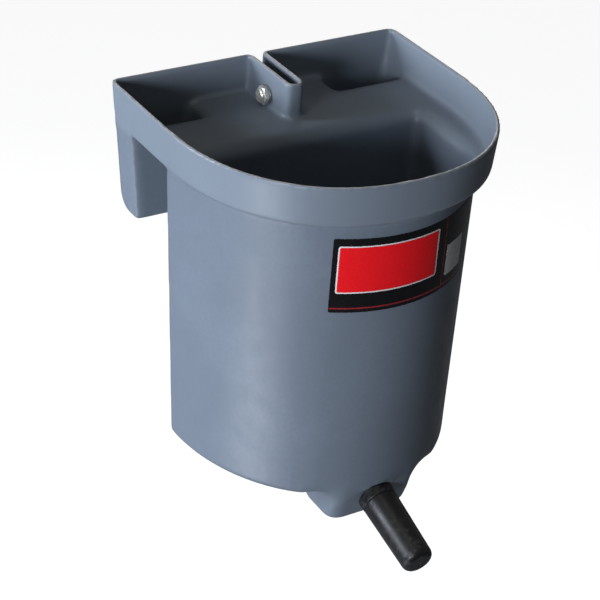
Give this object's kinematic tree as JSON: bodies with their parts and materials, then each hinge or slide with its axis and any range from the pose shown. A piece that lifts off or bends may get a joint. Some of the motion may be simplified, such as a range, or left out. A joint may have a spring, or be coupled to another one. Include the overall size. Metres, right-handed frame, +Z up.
{
  "type": "single-teat milk feeder",
  "caption": "Rail-hung D-shaped moulded milk feeder with a wide rim tray, two hollow hook legs, a swinging rail latch and one rubber teat at the front sump.",
  "frame": {"origin": "underside of the saddle, at the middle of the rail channel's width and depth", "axes": "+Z up, -Y towards the teat at the front, +X across the feeder to the right seen from the front camera"},
  "size_m": [0.3, 0.3369, 0.3733],
  "materials": {
    "slate_plastic": "satin rotomoulded polyethylene, slate blue-grey",
    "black_rubber": "satin natural rubber, black",
    "dark_plastic": "matt black polyethylene sheet",
    "zinc_steel": "bright zinc-plated steel"
  },
  "bodies": {
    "feeder": {"feeder_body": "slate_plastic", "teat": "black_rubber", "pivot_sleeve": "zinc_steel", "pivot_bolt": "zinc_steel", "lock_nut": "zinc_steel", "washer_head_side": "zinc_steel", "washer_nut_side": "zinc_steel"},
    "latch": {"rail_latch": "dark_plastic"}
  },
  "joints": [
    {"name": "latch_swing", "type": "hinge", "parent": "feeder", "child": "latch", "pos_m": [0, 0.0295, 0.0157], "axis": [1, 0, 0], "range_deg": [0, 135]}
  ]
}
